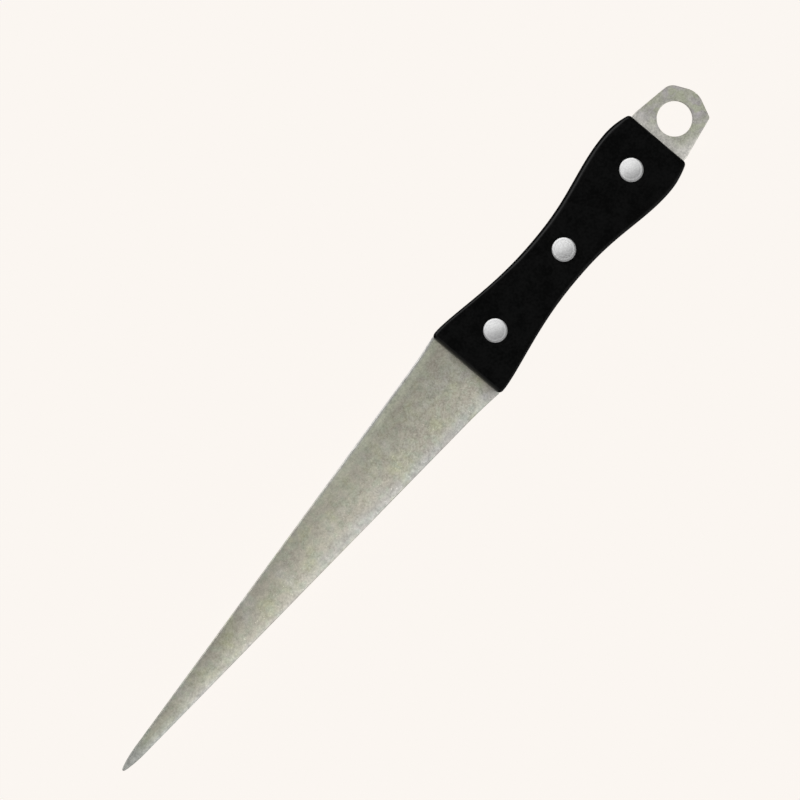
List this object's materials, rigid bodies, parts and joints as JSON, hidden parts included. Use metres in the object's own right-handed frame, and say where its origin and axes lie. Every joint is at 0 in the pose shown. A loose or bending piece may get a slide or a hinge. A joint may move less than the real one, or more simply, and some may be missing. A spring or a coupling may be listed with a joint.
{
  "type": "knife sharpening steel",
  "caption": "Flat tapered diamond-coated sharpening steel with full tang, riveted black scales and a hanging eye.",
  "frame": {"origin": "under the middle of the length, on the surface that the tool lies on, with its back down", "axes": "+X along the length towards the blade's tip, +Z out of the front face, along the hanging hole, and +Y across the width"},
  "size_m": [0.3023, 0.0304, 0.0166],
  "materials": {
    "steel": "bead-blasted matt stainless steel",
    "diamond_grit": "fine diamond grit in matt nickel plating",
    "scale_plastic": "satin moulded black plastic",
    "rivet_metal": "satin, finely polished"
  },
  "bodies": {
    "root": {"steel_core": "steel", "diamond_coating": "diamond_grit", "front_scale": "scale_plastic", "back_scale": "scale_plastic", "rivet_pin_front": "rivet_metal", "rivet_pin_middle": "rivet_metal", "rivet_pin_rear": "rivet_metal", "rivet_tube_front": "rivet_metal", "rivet_tube_middle": "rivet_metal", "rivet_tube_rear": "rivet_metal"}
  },
  "joints": []
}
